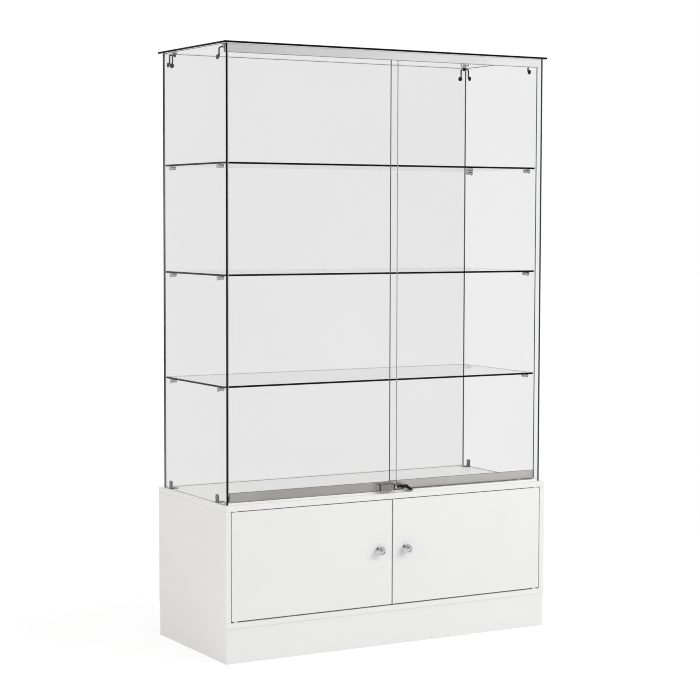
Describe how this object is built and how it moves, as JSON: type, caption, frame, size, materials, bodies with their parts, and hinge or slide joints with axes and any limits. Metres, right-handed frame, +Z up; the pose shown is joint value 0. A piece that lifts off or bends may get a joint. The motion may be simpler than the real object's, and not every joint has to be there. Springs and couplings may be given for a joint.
{
  "type": "pedestal display case",
  "caption": "Tall glass display case with shelves and lockable sliding glass doors, standing on a white storage base with two hinged cupboard doors.",
  "frame": {"origin": "centre of the overall bounding box in plan, on the floor under the plinth", "axes": "+X along the width, +Y from the doors to the back, +Z up; the doors face -Y"},
  "size_m": [1.2, 0.525, 1.918],
  "materials": {
    "white_board": "white melamine facing on board, satin",
    "raw_wood": "bare beech",
    "clear_glass": "clear float glass, ground edges with a green-black cast",
    "track_aluminium": "silver anodised, fine lengthwise grain",
    "shoe_aluminium": "brushed and anodised, warm grey",
    "polished_chrome": "polished chrome plate",
    "zinc_steel": "bright zinc plate",
    "lock_metal": "dark grey painted die-casting",
    "black_plastic": "black moulded plastic",
    "white_nylon": "natural nylon",
    "clear_pad": "translucent soft pad",
    "grey_liner": "grey sliding liner"
  },
  "bodies": {
    "root": {"plinth_front": "white_board", "plinth_back": "white_board", "plinth_sides": "white_board", "plinth_bearers": "white_board", "bottom_panel": "white_board", "side_left": "white_board", "side_right": "white_board", "centre_partition": "white_board", "deck": "white_board", "cabinet_back": "white_board", "carcass_dowels": "raw_wood", "hinge_bushes": "white_nylon", "magnetic_catches": "white_nylon", "glass_side_left": "clear_glass", "glass_side_right": "clear_glass", "glass_back": "clear_glass", "glass_top": "clear_glass", "shelf_lower": "clear_glass", "shelf_middle": "clear_glass", "shelf_upper": "clear_glass", "shelf_supports": "polished_chrome", "shelf_pads": "clear_pad", "connectors_front": "polished_chrome", "connectors_rear": "polished_chrome", "foot_brackets": "polished_chrome", "bracket_screws": "zinc_steel", "top_track": "track_aluminium", "top_track_liners": "grey_liner", "bottom_track": "track_aluminium", "track_screw_set": "zinc_steel"},
    "outer_door": {"outer_glass_door": "clear_glass", "outer_shoe": "shoe_aluminium", "outer_shoe_caps": "black_plastic", "outer_axles": "zinc_steel", "lock_housing": "lock_metal", "lock_end_caps": "black_plastic"},
    "inner_door": {"inner_glass_door": "clear_glass", "inner_shoe": "shoe_aluminium", "inner_shoe_caps": "black_plastic", "inner_axles": "zinc_steel"},
    "outer_wheel_left": {"outer_roller_left": "white_nylon"},
    "outer_wheel_right": {"outer_roller_right": "white_nylon"},
    "inner_wheel_left": {"inner_roller_left": "white_nylon"},
    "inner_wheel_right": {"inner_roller_right": "white_nylon"},
    "lock_cylinder": {"lock_barrel": "polished_chrome", "key_blade": "lock_metal", "key_body": "black_plastic", "key_pin": "zinc_steel"},
    "lock_slider": {"lock_bolt": "zinc_steel"},
    "folding_grip": {"key_grip": "black_plastic"},
    "cupboard_left": {"cupboard_door_left": "white_board", "door_pins_left": "zinc_steel", "knob_left": "polished_chrome", "knob_screw_left": "zinc_steel", "strike_plate_left": "zinc_steel"},
    "cupboard_right": {"cupboard_door_right": "white_board", "door_pins_right": "zinc_steel", "knob_right": "polished_chrome", "knob_screw_right": "zinc_steel", "strike_plate_right": "zinc_steel"}
  },
  "joints": [
    {"name": "outer_slide", "type": "slide", "parent": "root", "child": "outer_door", "axis": [1, 0, 0], "range_m": [0, 0.49]},
    {"name": "inner_slide", "type": "slide", "parent": "root", "child": "inner_door", "axis": [-1, 0, 0], "range_m": [0, 0.57]},
    {"name": "outer_wheel_left_spin", "type": "hinge", "parent": "outer_door", "child": "outer_wheel_left", "pos_m": [-0.519, -0.213, 0.5058], "axis": [0, 1, 0], "continuous": true},
    {"name": "outer_wheel_right_spin", "type": "hinge", "parent": "outer_door", "child": "outer_wheel_right", "pos_m": [-0.032, -0.213, 0.5058], "axis": [0, 1, 0], "continuous": true},
    {"name": "inner_wheel_left_spin", "type": "hinge", "parent": "inner_door", "child": "inner_wheel_left", "pos_m": [0.068, -0.202, 0.5058], "axis": [0, 1, 0], "continuous": true},
    {"name": "inner_wheel_right_spin", "type": "hinge", "parent": "inner_door", "child": "inner_wheel_right", "pos_m": [0.519, -0.202, 0.5058], "axis": [0, 1, 0], "continuous": true},
    {"name": "key_turn", "type": "hinge", "parent": "outer_door", "child": "lock_cylinder", "pos_m": [0.011, -0.227, 0.513], "axis": [-1, 0, 0], "range_deg": [0, 90]},
    {"name": "bolt_slide", "type": "slide", "parent": "outer_door", "child": "lock_slider", "axis": [0, 1, 0], "range_m": [0, 0.00608]},
    {"name": "key_fold", "type": "hinge", "parent": "lock_cylinder", "child": "folding_grip", "pos_m": [0.0582, -0.227, 0.513], "axis": [0, 1, 0], "range_deg": [-60, 0]},
    {"name": "cupboard_left_swing", "type": "hinge", "parent": "root", "child": "cupboard_left", "pos_m": [-0.564, -0.2285, 0.3], "axis": [0, 0, -1], "range_deg": [0, 100]},
    {"name": "cupboard_right_swing", "type": "hinge", "parent": "root", "child": "cupboard_right", "pos_m": [0.564, -0.2285, 0.3], "axis": [0, 0, 1], "range_deg": [0, 100]}
  ],
  "couplings": [
    {"joint": "outer_wheel_left_spin", "follows": "outer_slide", "rad_per_m": 166.67},
    {"joint": "outer_wheel_right_spin", "follows": "outer_slide", "rad_per_m": 166.67},
    {"joint": "inner_wheel_left_spin", "follows": "inner_slide", "rad_per_m": -166.67},
    {"joint": "inner_wheel_right_spin", "follows": "inner_slide", "rad_per_m": -166.67},
    {"joint": "key_turn", "follows": "bolt_slide", "rad_per_m": 258.33}
  ]
}
